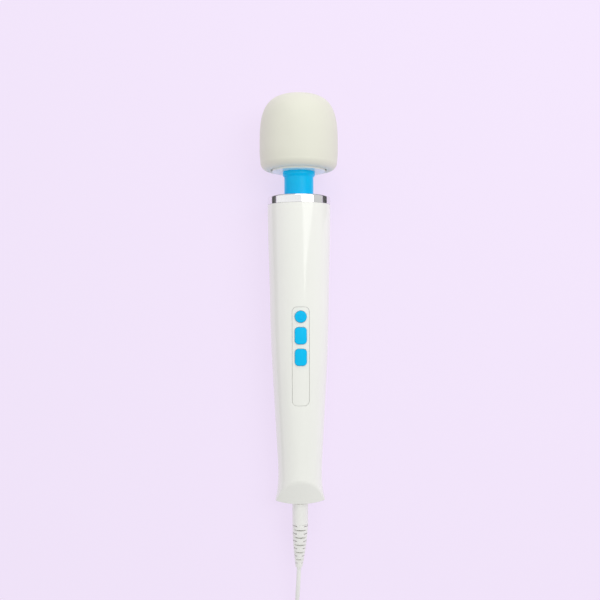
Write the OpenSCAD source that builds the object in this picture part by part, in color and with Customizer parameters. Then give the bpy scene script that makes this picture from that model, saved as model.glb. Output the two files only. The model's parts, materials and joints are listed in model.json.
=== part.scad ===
// Handheld wand massager on a detachable low-voltage lead with a wall adapter.
// The wand is drawn along +Y with the tail end at y = 0 and the control side towards +Z.
// lie() lays it on its back, so that it rests on its head and on the flat heel at the tail.
// The lead, its coil and the adapter are drawn where they lie on the same surface, z = 0.

/* [Wand] */
// Length from the tail end to the crown of the head
overall_len = 324; // [318:1:330]
// Diameter of the soft head
head_d = 62; // [61:0.5:64]
// Length of the head
head_len = 60; // [59:0.5:62]
// Diameter of the handle at the chrome ring
ring_d = 50; // [49.5:0.5:51]
// Height of the chrome ring
ring_h = 6.5; // [6:0.5:7.5]
// Visible length of the flexible neck
neck_gap = 20; // [19:0.5:22]
// Diameter of the flexible neck
neck_d = 23.1; // [22.6:0.1:23.6]
// Wall thickness of the handle shells
wall = 2.6; // [2.4:0.1:2.8]
// Tilt of the wand's axis when it lies on its back, in degrees
rest_tilt = 2.6; // [2.5:0.1:2.8]

/* [Controls] */
// Width of the inlaid control strip
strip_w = 13.2; // [13:0.1:15]
// Length of the inlaid control strip
strip_len = 76.5; // [74:0.5:78]
// Diameter of the power button
power_d = 9.1; // [8.5:0.5:10]
// Width of the level buttons
level_w = 9.1; // [8.5:0.5:10]
// Length of the level buttons
level_len = 13; // [12:0.5:14]
// How far the buttons stand above the strip
button_rise = 0.8; // [0.5:0.1:1.2]

/* [Lead] */
// Diameter of the lead
cord_d = 3.6; // [3.2:0.1:3.8]
// Diameter of the plug's grip
grip_d = 12.7; // [12:0.1:13.4]
// Length of the plug's grip
grip_len = 17; // [16:0.5:19]
// Length of the slotted strain relief
relief_len = 35.5; // [35:0.5:36]
// Middle diameter of the coiled lead
coil_d = 43; // [38:1:44]

/* [Adapter] */
// Width of the wall adapter
adapter_w = 42; // [40:1:48]
// Length of the wall adapter
adapter_len = 62; // [58:1:68]
// Thickness of the wall adapter
adapter_h = 30; // [28:1:32]

/* [Hidden] */

$fn = 96;
eps = 0.01;
fit_gap = 0.2;          // between a button and the strip, and round the strip
shaft_gap = 0.05;       // radial clearance of a turning shaft
seat_gap = 0.02;        // radial clearance of a part fixed on a shaft

// Stations along the wand
head_y = overall_len - head_len;
ring_top = head_y - neck_gap;
ring_y = ring_top - ring_h;
neck_r = neck_d / 2;

// Handle outline: distance from the tail and radius, for a handle 237.5 long and 50 across
handle_stations = [
    [0, 20.2], [4, 19.6], [9, 18.6], [15, 17.9], [24, 17.6], [36, 18.1], [58, 19.2], [80, 20.4],
    [108, 21.9], [136, 23], [165, 23.6], [193, 24.2], [215, 24.8], [237.5, 25]
];
handle_stretch = ring_y / 237.5;
handle_swell = ring_d / 50;
handle_curve = [for (p = handle_stations) [p[0] * handle_stretch, p[1] * handle_swell]];
end_dome_r = 120;       // the tail's end face bulges a little
end_face_r = 19.4 * handle_swell;
end_wall = 3;

// The slanted facet at the tail: a shallow barrel face that rises from the end face to the front
facet_z = 8;
facet_slope = 25;
facet_r = 40;

// Head
head_r = head_d / 2;
belly_y = head_y + 17;  // widest place of the head
belly_drop = 0.66;      // how much narrower the head is at the start of its lower edge
belly_len = 10;
edge_h = 5.9;           // height and width of the head's rounded lower edge
edge_w = 6;
crown_power = 3.4;      // superellipse exponent of the crown
lip_r = 22;
disc_r = 21.1;
drum_r = 27;
drum_wall = 2.4;
drum_y = head_y + 6;
lid_y = head_y + 38;
lid_t = 3;
bearing_h = 6;
bearing_r = 9.5;
shaft_r = 3;
spigot_r = 2.8;

// Height of the wand's axis over the surface at the tail end, so that the head's belly touches z = 0
belly_curve = belly_drop / (belly_len * belly_len);
touch_d = tan(rest_tilt) / (2 * belly_curve);
axis_z = (head_r - belly_curve * touch_d * touch_d) * cos(rest_tilt) - (belly_y - touch_d) * sin(rest_tilt);

// Controls: a frame on the handle's surface, tilted with the handle's taper
strip_y = 119.25 * handle_stretch;
strip_tilt = 2.4;
strip_corner = 3.8;
strip_t = 1.5;
strip_recess = 0.15;
strip_ledge = 1.2;
power_y = 30.9;         // button centres, from the middle of the strip
up_y = 16.3;
down_y = -0.4;
level_corner = 2.9;
flange_z = -2.7;        // top of the buttons' retaining flanges
flange_t = 0.8;
flange_rim = 0.7;
stem_z = -4.8;
board_z = -10.4;        // top face of the circuit board
board_t = 1.6;
board_w = 18;
board_len = 86;
board_screw_y = 40.5;
switch_y = [27, up_y, down_y];
connector_y = [-30, 32];
connector_size = [8, 6, 5];
connector_lean = (board_t + connector_size[2] / 2 - board_z) * sin(strip_tilt);

// Motor
motor_y = 174;
motor_len = 54;
motor_r = 18;
armature_r = 12;
commutator_r = 5.9;
brush_size = [6, 4, 4];
brush_y = motor_y + 4;
bush_r = 4;
motor_shaft_r = 2.5;
screw_r = 1.45;
shell_screw_xy = [[-9, 46], [9, 46], [-15.5, 158], [15.5, 158]];
screw_seat = -10;

// Plug and lead
plug_gap = 0.4;
relief_lean = 2;        // degrees to the side
relief_end_r = 2.8;
relief_pitch = 6.1;     // from slot to slot on one side
relief_slot = 1.1;      // width of each slot
relief_first = 1.2;     // from the grip to the middle of the first slot
relief_swell = 1.6;     // 1 for a plain cone, more for a taper that starts late
cord_r = cord_d / 2;
cord_sides = 8;
coil_layers = 4;        // width of the coil's section, in cords
coil_rows = 4;          // height of the coil's section, in cords
coil_w = coil_layers * cord_d;
coil_h = coil_rows * cord_d;
tie_t = 0.6;
tie_gap = 0.15;
tie_side_gap = 0.55;    // the straight strap crosses a round coil
tie_w = 6;
coil_z = tie_t + tie_gap;
entry_z = coil_z + cord_r;
leave_z = coil_z + coil_h - cord_r;

// Route of the lead, from the strain relief down to the surface and into the coil
lead_route = [
    [-1.2, -214.8, 15.9], [-1.5, -222, 15.4], [-1.9, -230, 14.1], [-2.3, -238, 11.9], [-2.6, -246, 8.9],
    [-2.8, -254, 5.7], [-2.9, -262, 3.2], [-3, -270, 2], [-3, -278, 1.8], [-3, -286, 1.8],
    [-3, -296, 2.2], [-3, -306, entry_z]
];
// Route of its last stretch, from the top of the coil to the adapter
tail_route = [
    [-3, -306, leave_z], [-3, -314, leave_z], [-2.8, -322, 13.7], [-2.4, -330, 14.3], [-2.1, -338, 14.8],
    [-2, -344, 15]
];
coil_centre = [-3 - coil_d / 2 - 1.5 * cord_d, -306, 0];
adapter_at = [-2, -368, 0];
adapter_wall = 2;
adapter_corner = 6;
adapter_board_z = 6.8;  // top face of the adapter's circuit board
adapter_relief_len = 24;
blade_pitch = 12.7;
blade_y = -44;

// Colours
white = "#f2f2ec";
cream = "#e4e5d9";
blue = "#18b4ec";
chrome = "#c9ccd2";
steel = "#9da1a6";
copper = "#b8733a";
green = "#2f7a4a";
black = "#26272a";
grey = "#8e9196";
brass = "#c9a54c";

// ---------- Helpers ----------

// Slope of a curve of [x, value] points at point i
function slope_at(p, i) =
    let (a = max(i - 1, 0), b = min(i + 1, len(p) - 1))
    (p[b][1] - p[a][1]) / (p[b][0] - p[a][0]);

// The stretch of a curve that holds x
function stretch_of(p, x, i = 0) = i >= len(p) - 2 || x < p[i + 1][0] ? i : stretch_of(p, x, i + 1);

// Smooth value of a curve of [x, value] points at x
function smooth_value(p, x) =
    let (i = stretch_of(p, x), w = p[i + 1][0] - p[i][0], t = (x - p[i][0]) / w)
    (2 * pow(t, 3) - 3 * pow(t, 2) + 1) * p[i][1] + (pow(t, 3) - 2 * pow(t, 2) + t) * w * slope_at(p, i)
    + (3 * pow(t, 2) - 2 * pow(t, 3)) * p[i + 1][1] + (pow(t, 3) - pow(t, 2)) * w * slope_at(p, i + 1);

function handle_r(y) = smooth_value(handle_curve, y);
function end_dome_y(r) = end_dome_r - sqrt(end_dome_r * end_dome_r - r * r);
function unit(v) = v / norm(v);

// Radius of the head's belly and crown at angle a of the superellipse, and the height there
function crown_point(a) = [
    head_r * pow(cos(a), 2 / crown_power),
    belly_y + (overall_len - belly_y) * pow(sin(a), 2 / crown_power)
];

// Point on a smooth line through route points, at t counted in points
function route_point(p, t) =
    let (
        i = min(floor(t), len(p) - 2), u = t - i,
        a = p[max(i - 1, 0)], b = p[i], c = p[i + 1], d = p[min(i + 2, len(p) - 1)]
    )
    b + 0.5 * ((c - a) * u + (2 * a - 5 * b + 4 * c - d) * u * u + (3 * b - a - 3 * c + d) * u * u * u);

// Direction of a list of points at point i
function heading(p, i) = unit(p[min(i + 1, len(p) - 1)] - p[max(i - 1, 0)]);

// Puts something in the wand's own frame down on its back
module lie() {
    translate([0, -overall_len / 2, axis_z]) rotate([rest_tilt, 0, 0]) children();
}

// The frame of the control strip, with z outwards
module on_strip() {
    translate([0, strip_y, handle_r(strip_y)]) rotate([strip_tilt, 0, 0]) children();
}

// A solid turned about the wand's axis, from points [radius, y]
module turned(outline) {
    rotate([-90, 0, 0]) rotate_extrude() polygon(outline);
}

module rod(r, y0, y1) {
    translate([0, y0, 0]) rotate([-90, 0, 0]) cylinder(r = r, h = y1 - y0);
}

module pipe(r_out, r_in, y0, y1) {
    difference() {
        rod(r_out, y0, y1);
        rod(r_in, y0 - eps, y1 + eps);
    }
}

module box(size, centre) {
    translate(centre - size / 2) cube(size);
}

module rounded(w, l, r) {
    square([w - 2 * r, l], center = true);
    square([w, l - 2 * r], center = true);
    for (x = [-1, 1], y = [-1, 1]) translate([x * (w / 2 - r), y * (l / 2 - r)]) circle(r);
}

// A tube through a list of points, swept as one closed skin
module swept(points, r, sides) {
    last = len(points) - 1;
    rings = [
        for (i = [0:last])
        let (way = heading(points, i), side = unit(cross(way, [0, 0.05, 1])), up = cross(side, way))
        for (k = [0:sides - 1]) points[i] + r * (cos(360 * k / sides) * side + sin(360 * k / sides) * up)
    ];
    walls = [
        for (i = [0:last - 1], k = [0:sides - 1])
        let (a = i * sides + k, b = i * sides + (k + 1) % sides)
        for (corners = [[a, b, b + sides], [a, b + sides, a + sides]]) corners
    ];
    ends = [[for (k = [0:sides - 1]) sides - 1 - k], [for (k = [0:sides - 1]) last * sides + k]];
    polyhedron(rings, concat(ends, walls), convexity = 10);
}

// A wire of radius r wound about the wand's axis
module coil_spring(mean_r, r, y0, y1, turns, sides) {
    steps = 12 * turns;
    swept_about_y([
        for (i = [0:steps])
        [mean_r * cos(30 * i), y0 + r + (y1 - y0 - 2 * r) * i / steps, mean_r * sin(30 * i)]
    ], r, sides);
}

// The same sweep, for a line that turns about Y
module swept_about_y(points, r, sides) {
    rotate([-90, 0, 0]) swept([for (p = points) [p[0], -p[2], p[1]]], r, sides);
}

// ---------- Handle ----------

module handle_form() {
    dome = [for (i = [0:5]) let (r = end_face_r * i / 5) [r, end_dome_y(r)]];
    tail_rows = [for (y = [2.4:2:28.4]) [handle_r(y), y]];
    body_steps = 26;
    body_rows = [
        for (i = [0:body_steps]) let (y = 32 + (ring_y - 32) * i / body_steps) [handle_r(y), y]
    ];
    difference() {
        turned(concat(dome, tail_rows, body_rows, [[0, ring_y]]));
        facet_cut(0);
        heel_cut(0);
    }
}

module handle_cavity() {
    rows = [for (y = [end_wall, 9, 16, 26, 40, 80, 120, 160, 200, ring_y + 1]) [handle_r(y) - wall, y]];
    difference() {
        turned(concat([[0, end_wall]], rows, [[0, ring_y + 1]]));
        facet_cut(wall);
        heel_cut(wall);
    }
}

// What the slanted facet takes away, moved inwards by inset
module facet_cut(inset) {
    translate([0, 0, facet_z]) rotate([facet_slope, 0, 0]) difference() {
        translate([-30, -30, -12]) cube([60, 62, 40]);
        translate([0, -40, -facet_r]) rotate([-90, 0, 0]) cylinder(r = facet_r - inset, h = 100);
    }
}

// What the flat heel takes away, moved inwards by inset
module heel_cut(inset) {
    rotate([-rest_tilt, 0, 0]) translate([-30, -5, inset - axis_z - 20]) cube([60, 40, 20]);
}

// A layer that follows the handle's surface from y0 to y1, between two depths
module handle_layer(outer, inner, y0, y1) {
    steps = 10;
    ys = [for (i = [0:steps]) y0 + (y1 - y0) * i / steps];
    up = [for (y = ys) [handle_r(y) - outer, y]];
    down = [for (i = [0:steps]) let (y = ys[steps - i]) [handle_r(y) - inner, y]];
    turned(concat(up, down));
}

module half(side) {
    intersection() {
        children();
        translate([-40, -10, side > 0 ? 0 : -40]) cube([80, overall_len, 40]);
    }
}

module at_shell_screws() {
    for (p = shell_screw_xy) translate([p[0], p[1], 0]) children();
}

module strip_prism(margin, z0, z1) {
    on_strip() translate([0, 0, z0]) linear_extrude(z1 - z0)
        rounded(strip_w + 2 * margin, strip_len + 2 * margin, strip_corner + margin);
}

module socket_hole() {
    rod(4.4, -1, end_wall + 1);
}

module front_shell() {
    ends = [strip_y - 50, strip_y + 50];
    color(white) lie() difference() {
        half(1) union() {
            difference() {
                handle_form();
                handle_cavity();
            }
            intersection() {
                handle_form();
                union() {
                    at_shell_screws() cylinder(r = 3.6, h = 30);
                    on_strip() for (y = [-board_screw_y, board_screw_y])
                        translate([0, y, board_z]) cylinder(r = 2.4, h = 12);
                }
            }
        }
        at_shell_screws() translate([0, 0, -eps]) cylinder(r = screw_r + 0.05, h = 9);
        on_strip() for (y = [-board_screw_y, board_screw_y])
            translate([0, y, board_z - eps]) cylinder(r = 1.15, h = 5);
        intersection() {
            strip_prism(fit_gap, -8, 5);
            handle_layer(-3, strip_recess + strip_t + seat_gap, ends[0], ends[1]);
        }
        strip_prism(-strip_ledge, -12, 5);
        socket_hole();
    }
}

module rear_shell() {
    color(white) lie() difference() {
        half(-1) union() {
            difference() {
                handle_form();
                handle_cavity();
            }
            intersection() {
                handle_form();
                at_shell_screws() translate([0, 0, -30]) cylinder(r = 5, h = 30);
            }
        }
        at_shell_screws() {
            translate([0, 0, -20]) cylinder(r = screw_r + 0.15, h = 21);
            translate([0, 0, screw_seat - 30]) cylinder(r = 3.6, h = 30);
        }
        rating_place(0.3, 0.1);
        socket_hole();
    }
}

// The shallow place of the rating label on the handle's back
module rating_place(depth, margin) {
    y0 = 176;
    y1 = 212;
    intersection() {
        handle_layer(-1, depth, y0 - 4, y1 + 4);
        translate([0, (y0 + y1) / 2, -40]) linear_extrude(38)
            rounded(22 + 2 * margin, y1 - y0 + 2 * margin, 2 + margin);
    }
}

module rating_label() {
    color(chrome) lie() intersection() {
        rating_place(0.29, 0);
        handle_layer(0.04, 2, 170, 218);
    }
}

module chrome_ring() {
    r = ring_d / 2;
    soft = 1.2;
    rim = [for (a = [0:15:90]) [r - soft + soft * cos(a), ring_top - soft + soft * sin(a)]];
    color(chrome) lie() turned(concat(
        [[r - 2.5, ring_y], [r, ring_y]], rim,
        [[r - 4.4, ring_top], [r - 4.4, ring_top - 0.9], [r - 2.5, ring_top - 0.9]]
    ));
}

module neck_socket() {
    color(grey) lie() difference() {
        rod(22.2, ring_y - 4.5, ring_top - 3.6);
        rod(6, ring_y - 5, ring_top);
        rod(8.7, ring_y - 1.5, ring_top);
    }
}

module control_strip() {
    color(white) lie() difference() {
        intersection() {
            strip_prism(0, -8, 5);
            handle_layer(strip_recess, strip_recess + strip_t, strip_y - 50, strip_y + 50);
        }
        button_prism(power_y, power_d, power_d, power_d / 2, fit_gap, -8, 8);
        for (y = [up_y, down_y]) button_prism(y, level_w, level_len, level_corner, fit_gap, -8, 8);
    }
}

module button_prism(y, w, l, corner, margin, z0, z1) {
    on_strip() translate([0, y, z0]) linear_extrude(z1 - z0)
        if (w == l) circle(w / 2 + margin);
        else rounded(w + 2 * margin, l + 2 * margin, corner + margin);
}

module button(y, w, l, corner) {
    color(blue) lie() intersection() {
        union() {
            button_prism(y, w, l, corner, 0, flange_z - eps, 8);
            button_prism(y, w, l, corner, flange_rim, flange_z - flange_t, flange_z);
            on_strip() translate([0, y, stem_z]) cylinder(r = 2, h = 3);
        }
        handle_layer(-button_rise, 10, strip_y - 50, strip_y + 50);
    }
}

module power_button() { button(power_y, power_d, power_d, power_d / 2); }
module up_button() { button(up_y, level_w, level_len, level_corner); }
module down_button() { button(down_y, level_w, level_len, level_corner); }

module keypad() {
    color(grey) lie() on_strip() {
        translate([0, 0, board_z + 3.3]) linear_extrude(0.8) rounded(13, 66, 2);
        for (y = [power_y, up_y, down_y]) translate([0, y, board_z + 4]) cylinder(r = 2.6, h = 0.7);
    }
}

module tact_switches() {
    color(black) lie() on_strip() for (y = switch_y) {
        box([6, 6, 2.4], [0, y, board_z + 1.2]);
        translate([0, y, board_z + 2.3]) cylinder(r = 1.6, h = 0.7);
    }
}

module circuit_board() {
    color(green) lie() on_strip() difference() {
        box([board_w, board_len, board_t], [0, 0, board_z - board_t / 2]);
        for (y = [-board_screw_y, board_screw_y])
            translate([0, y, board_z - 3]) cylinder(r = 1.3, h = 4);
    }
}

module board_screws() {
    color(steel) lie() on_strip() for (y = [-board_screw_y, board_screw_y])
        translate([0, y, board_z - board_t]) {
            translate([0, 0, -1.4]) cylinder(r = 2.1, h = 1.4);
            cylinder(r = 1.1, h = 6);
        }
}

module board_components() {
    under = board_z - board_t;
    color(black) lie() on_strip() {
        box([7, 7, 1.2], [0, -12, under - 0.6]);
        box([10, 15, 4.4], [0, 10, under - 2.2]);
        for (y = connector_y) box(connector_size, [0, y, under - connector_size[2] / 2]);
        translate([0, -4, under - 4]) rotate([-90, 0, 0]) cylinder(r = 4, h = 6);
    }
}

module shell_screws() {
    color(steel) lie() at_shell_screws() {
        translate([0, 0, screw_seat]) cylinder(r = screw_r, h = 8 - screw_seat);
        translate([0, 0, screw_seat - 2.2]) cylinder(r = 2.8, h = 2.2);
    }
}

module screw_plugs() {
    color(white) lie() intersection() {
        handle_form();
        at_shell_screws() translate([0, 0, -30]) cylinder(r = 3.5, h = 30 + screw_seat - 2.4);
    }
}

// ---------- DC socket ----------

module dc_socket() {
    color(black) lie() difference() {
        union() {
            rod(4.2, 0.7, end_wall + 0.2);
            box([9, 13.6, 11], [0, end_wall + 7, 0]);
        }
        difference() {
            rod(2.81, 0, 11.5);
            rod(1, 2, 12);
        }
    }
}

module socket_leads() {
    y1 = strip_y + connector_y[0] - connector_size[1] / 2 + connector_lean - 0.1;
    color("firebrick") lie() for (x = [-2.5, 2.5]) swept([
        [x, 16.9, 0], [x, 28, 0.5], [x * 1.6, 44, 2.6], [x * 1.6, 60, 4.6], [x, 76, 6], [x, y1, 6.4]
    ], 0.8, 6);
}

// ---------- Motor ----------

module motor_can() {
    color(steel) lie() {
        pipe(motor_r, motor_r - 1, motor_y, motor_y + motor_len);
        pipe(motor_r - 1, bush_r, motor_y + motor_len - 1.5, motor_y + motor_len);
    }
}

module motor_end_cap() {
    color(black) lie() difference() {
        union() {
            rod(motor_r, motor_y - 3, motor_y);
            rod(8, motor_y - 6, motor_y - 3);
            for (x = [-1, 1]) box([7, 7.4, 7], [x * 11.5, motor_y + 3.6, 0]);
        }
        rod(bush_r, motor_y - 7, motor_y + 1);
        for (x = [-1, 1]) box(brush_size + [0.2, 0.1, 0.1], [x * 9.1, brush_y, 0]);
    }
}

module motor_bushes() {
    color(brass) lie() for (y = [motor_y - 6, motor_y + motor_len - 3])
        pipe(bush_r, motor_shaft_r + shaft_gap, y, y + 5);
}

module motor_magnets() {
    color(black) lie() for (side = [-1, 1]) intersection() {
        pipe(motor_r - 1.05, armature_r + 0.8, motor_y + 8, motor_y + 46);
        translate([side > 0 ? 5 : -25, motor_y, -20]) cube([20, motor_len, 40]);
    }
}

module motor_brushes() {
    color(grey) lie() for (x = [-1, 1]) box(brush_size, [x * 9.1, brush_y, 0]);
}

module motor_mount(y, len) {
    r = min(handle_r(y), handle_r(y + len)) - wall - 0.25;
    color(black) lie() pipe(r, motor_r + 0.02, y, y + len);
}

module motor_mount_rear() { motor_mount(motor_y + 2, 8); }
module motor_mount_front() { motor_mount(motor_y + motor_len - 12, 8); }

module motor_leads() {
    y0 = strip_y + connector_y[1] + connector_size[1] / 2 + connector_lean + 0.1;
    color("midnightblue") lie() for (x = [-2.5, 2.5]) swept([
        [x, y0, 9], [x * 1.4, y0 + 4, 8.4], [x * 3, y0 + 9, 7.4],
        [x * 4, motor_y - 7, 7], [x * 4, motor_y - 3, 7]
    ], 0.7, 6);
}

module motor_shaft() {
    color(steel) lie() rod(motor_shaft_r, motor_y - 9, motor_y + motor_len + 10);
}

module motor_armature() {
    slots = 7;
    color(copper) lie() difference() {
        pipe(armature_r, motor_shaft_r + seat_gap, motor_y + 10, motor_y + 44);
        for (i = [0:slots - 1]) rotate([0, 360 * i / slots, 0])
            box([1.6, 40, 7], [0, motor_y + 27, armature_r]);
    }
}

module commutator() {
    color(brass) lie() pipe(commutator_r, motor_shaft_r + seat_gap, motor_y + 1, motor_y + 8);
}

module drive_hub() {
    y = motor_y + motor_len + 4;
    color(brass) lie() {
        pipe(4.6, motor_shaft_r + seat_gap, y, ring_y + 1.5);
        rod(spigot_r, ring_y + 1.5, ring_y + 7);
    }
}

module drive_spring() {
    color(steel) lie() coil_spring(3.6, 0.65, ring_y + 1.6, head_y + 8, 16, 6);
}

// ---------- Neck ----------

module neck_boot() {
    flange_top = ring_top - 1;
    fillet = 3;
    bend = [
        for (a = [0:15:90])
        [neck_r + fillet - fillet * sin(a), flange_top + fillet - fillet * cos(a)]
    ];
    color(blue) lie() turned(concat(
        [[8.6, flange_top - 2.4], [22.1, flange_top - 2.4], [22.1, flange_top]], bend,
        [
            [neck_r, head_y - 3.6], [neck_r + 1.2, head_y - 2], [neck_r + 1.2, head_y],
            [neck_r - 0.2, head_y], [neck_r - 0.2, head_y + 8], [8.6, head_y + 8]
        ]
    ));
}

module neck_spring() {
    color(steel) lie() coil_spring(7.5, 0.9, ring_y - 1.4, head_y + 7.8, 10, 8);
}

// ---------- Head ----------

module head_base() {
    color(white) lie() difference() {
        union() {
            rod(disc_r, head_y, head_y + 3.6);
            rod(drum_r - 0.2, head_y + 3.6, drum_y);
            rod(14.6, head_y + 3.6, head_y + 9);
            rod(12, head_y + 9, head_y + 19);
        }
        rod(neck_r - 0.15, head_y - 1, head_y + 8.2);
        rod(7, head_y, head_y + 20);
        rod(bearing_r + 0.02, head_y + 12, head_y + 20);
        at_head_screws() rod(1.3, head_y + 4.4, drum_y + 1);
    }
}

module at_head_screws() {
    for (a = [0:120:240]) rotate([0, a, 0]) translate([0, 0, 21.6]) children();
}

module head_drum() {
    color(grey) lie() pipe(drum_r - 0.2, drum_r - drum_wall, drum_y + 0.02, lid_y);
}

module head_lid() {
    color(grey) lie() difference() {
        union() {
            rod(drum_r - 0.2, lid_y + 0.02, lid_y + lid_t);
            rod(12, lid_y - bearing_h - 0.4, lid_y + 0.1);
        }
        rod(bearing_r + 0.02, lid_y - bearing_h - 1, lid_y);
        at_head_screws() rod(1.6, lid_y - 1, lid_y + lid_t + 1);
    }
}

module head_bearings() {
    color(steel) lie() for (y = [head_y + 12.4, lid_y - bearing_h - 0.2]) {
        pipe(bearing_r, 7.4, y, y + bearing_h);
        pipe(7.4, 5.4, y + 1.2, y + bearing_h - 1.2);
        pipe(5.4, shaft_r + shaft_gap, y, y + bearing_h);
    }
}

module head_screws() {
    color(steel) lie() at_head_screws() {
        rod(1.25, head_y + 4.6, lid_y + lid_t);
        rod(2.4, lid_y + lid_t, lid_y + lid_t + 2);
    }
}

module head_cap() {
    crown = [for (i = [0:20]) crown_point(min(4.5 * i, 89.9))];
    belly = [
        for (y = [0:2.2:belly_len - 0.1])
        [head_r - belly_drop * pow((belly_len - y) / belly_len, 2), belly_y - belly_len + y]
    ];
    edge_r = head_r - belly_drop - edge_w;
    edge = [
        for (a = [0:12:84])
        [edge_r + edge_w * sin(a), belly_y - belly_len - edge_h * cos(a)]
    ];
    bottom = belly_y - belly_len - edge_h;
    hollow = [
        [0, lid_y + lid_t + 3.4], [drum_r - 2, lid_y + lid_t + 3.4], [drum_r - 2, lid_y + lid_t + 0.2],
        [drum_r, lid_y + lid_t + 0.2], [drum_r, head_y + 3.4], [lip_r, head_y + 3.4]
    ];
    color(cream) lie() turned(concat(hollow, [[lip_r, bottom]], edge, belly, crown, [[0, overall_len]]));
}

module eccentric_shaft() {
    color(steel) lie() {
        rod(spigot_r, head_y + 2, head_y + 9);
        rod(shaft_r, head_y + 9, lid_y - 0.6);
    }
}

module eccentric_weight() {
    y0 = head_y + 20;
    y1 = head_y + 30.6;
    color(brass) lie() difference() {
        union() {
            rod(7, y0, y1);
            intersection() {
                rod(18, y0, y1);
                translate([-20, y0 - 1, -20]) cube([40, y1 - y0 + 2, 20]);
            }
        }
        rod(shaft_r + seat_gap, y0 - 1, y1 + 1);
        translate([0, (y0 + y1) / 2, 2]) cylinder(r = 1.55, h = 10);
    }
}

module weight_screw() {
    color(black) lie() translate([0, head_y + 25.3, shaft_r + 0.02]) cylinder(r = 1.5, h = 3.6);
}

// ---------- Plug ----------

module dc_plug() {
    color(steel) lie() pipe(2.75, 1.1, -plug_gap, 9.2);
}

module plug_grip() {
    soft = 0.8;
    r = grip_d / 2;
    y = -plug_gap - grip_len;
    color(white) lie() turned([
        [0, y], [r, y], [r, -plug_gap - soft], [r - soft, -plug_gap], [0, -plug_gap]
    ]);
}

module strain_relief() {
    color(white) lie() translate([0, -plug_gap - grip_len, 0]) rotate([90, 0, -relief_lean]) difference() {
        rotate_extrude() polygon(concat(
            [[0, 0]], [for (i = [0:8]) let (z = relief_len * i / 8) [relief_r(z), z]], [[0, relief_len]]
        ));
        for (i = [0:10], side = [-1, 1])
            rotate(90 * (i % 2)) relief_cut(relief_first + relief_pitch * i / 2, side);
    }
}

// What one slot takes away from one side of the strain relief, at height z along it
module relief_cut(z, side) {
    depth = 8;
    box([depth, 20, relief_slot], [side * (depth / 2 + relief_web(z)), 0, z]);
}

// Radius of the strain relief at height z along it
function relief_r(z) = relief_end_r + (grip_d / 2 - relief_end_r) * (1 - pow(z / relief_len, relief_swell));

// Half width of the web that each of its slots leaves
function relief_web(z) = 0.45 * relief_r(z);

// ---------- Lead ----------

function route_line(route, per_point) =
    [for (i = [0:(len(route) - 1) * per_point]) route_point(route, i / per_point)];

module lead() {
    color(white) swept(route_line(lead_route, 1), cord_r, cord_sides);
}

module lead_tail() {
    color(white) swept(route_line(tail_route, 1), cord_r, cord_sides);
}

module lead_coil() {
    color(white) translate(coil_centre + [0, 0, coil_z + coil_h / 2]) rotate_extrude()
        translate([coil_d / 2, 0]) rounded(coil_w, coil_h, cord_r);
}

module coil_tie() {
    w = coil_w + 2 * tie_side_gap;
    h = coil_h + 2 * tie_gap;
    color(black) translate(coil_centre + [-coil_d / 2, tie_w / 2, coil_z + coil_h / 2])
        rotate([90, 0, 0]) linear_extrude(tie_w) difference() {
            rounded(w + 2 * tie_t, h + 2 * tie_t, cord_r + tie_gap + tie_t);
            rounded(w, h, cord_r + tie_gap);
        }
}

// ---------- Adapter ----------

module adapter_form(inset, z0, z1) {
    translate([0, -adapter_len / 2, z0]) linear_extrude(z1 - z0)
        rounded(adapter_w - 2 * inset, adapter_len - 2 * inset, adapter_corner - inset);
}

module adapter_gland_hole() {
    translate([0, -adapter_wall - 1, adapter_h / 2]) rotate([-90, 0, 0]) cylinder(r = 3.6, h = 10);
}

module adapter_base() {
    mid = adapter_h / 2;
    color(white) translate(adapter_at) difference() {
        adapter_form(0, 0, mid);
        adapter_form(adapter_wall, adapter_wall, mid + 1);
        adapter_gland_hole();
    }
}

module adapter_cover() {
    mid = adapter_h / 2;
    color(white) translate(adapter_at) difference() {
        adapter_form(0, mid, adapter_h);
        adapter_form(adapter_wall, mid - 1, adapter_h - adapter_wall);
        adapter_gland_hole();
        for (x = [-0.5, 0.5]) box([1.7, 6.6, 10], [x * blade_pitch, blade_y, adapter_h]);
    }
}

module adapter_blades() {
    color(steel) translate(adapter_at) for (x = [-0.5, 0.5])
        box([1.5, 6.35, 22], [x * blade_pitch, blade_y, adapter_h + 5.5]);
}

module adapter_board() {
    size = [adapter_w - 8, adapter_len - 14, board_t];
    color(green) translate(adapter_at)
        box(size, [0, -adapter_len / 2 - 1, adapter_board_z - board_t / 2]);
}

module adapter_transformer() {
    color(black) translate(adapter_at) {
        box([18, 12, 14], [0, -28, adapter_board_z + 7]);
        for (y = [-20.4, -35.6]) box([22, 3, 16], [0, y, adapter_board_z + 8]);
    }
}

module adapter_parts() {
    color(black) translate(adapter_at) {
        for (x = [-11, 11]) translate([x, -48, adapter_board_z]) cylinder(r = 4.5, h = 12);
        box([10, 4, 9], [9, -13, adapter_board_z + 4.5]);
        box([6, 6, 3], [-10, -13, adapter_board_z + 1.5]);
    }
}

module adapter_relief() {
    color(white) translate(adapter_at + [0, 0, adapter_h / 2]) rotate([-90, 0, 0]) {
        translate([0, 0, -adapter_wall - 1.6]) cylinder(r = 5, h = 1.5);
        translate([0, 0, -adapter_wall - 0.2]) cylinder(r = 3.5, h = adapter_wall + 0.4);
        translate([0, 0, 0.1]) cylinder(r1 = 4.6, r2 = cord_r + 0.7, h = adapter_relief_len - 0.1);
    }
}

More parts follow.
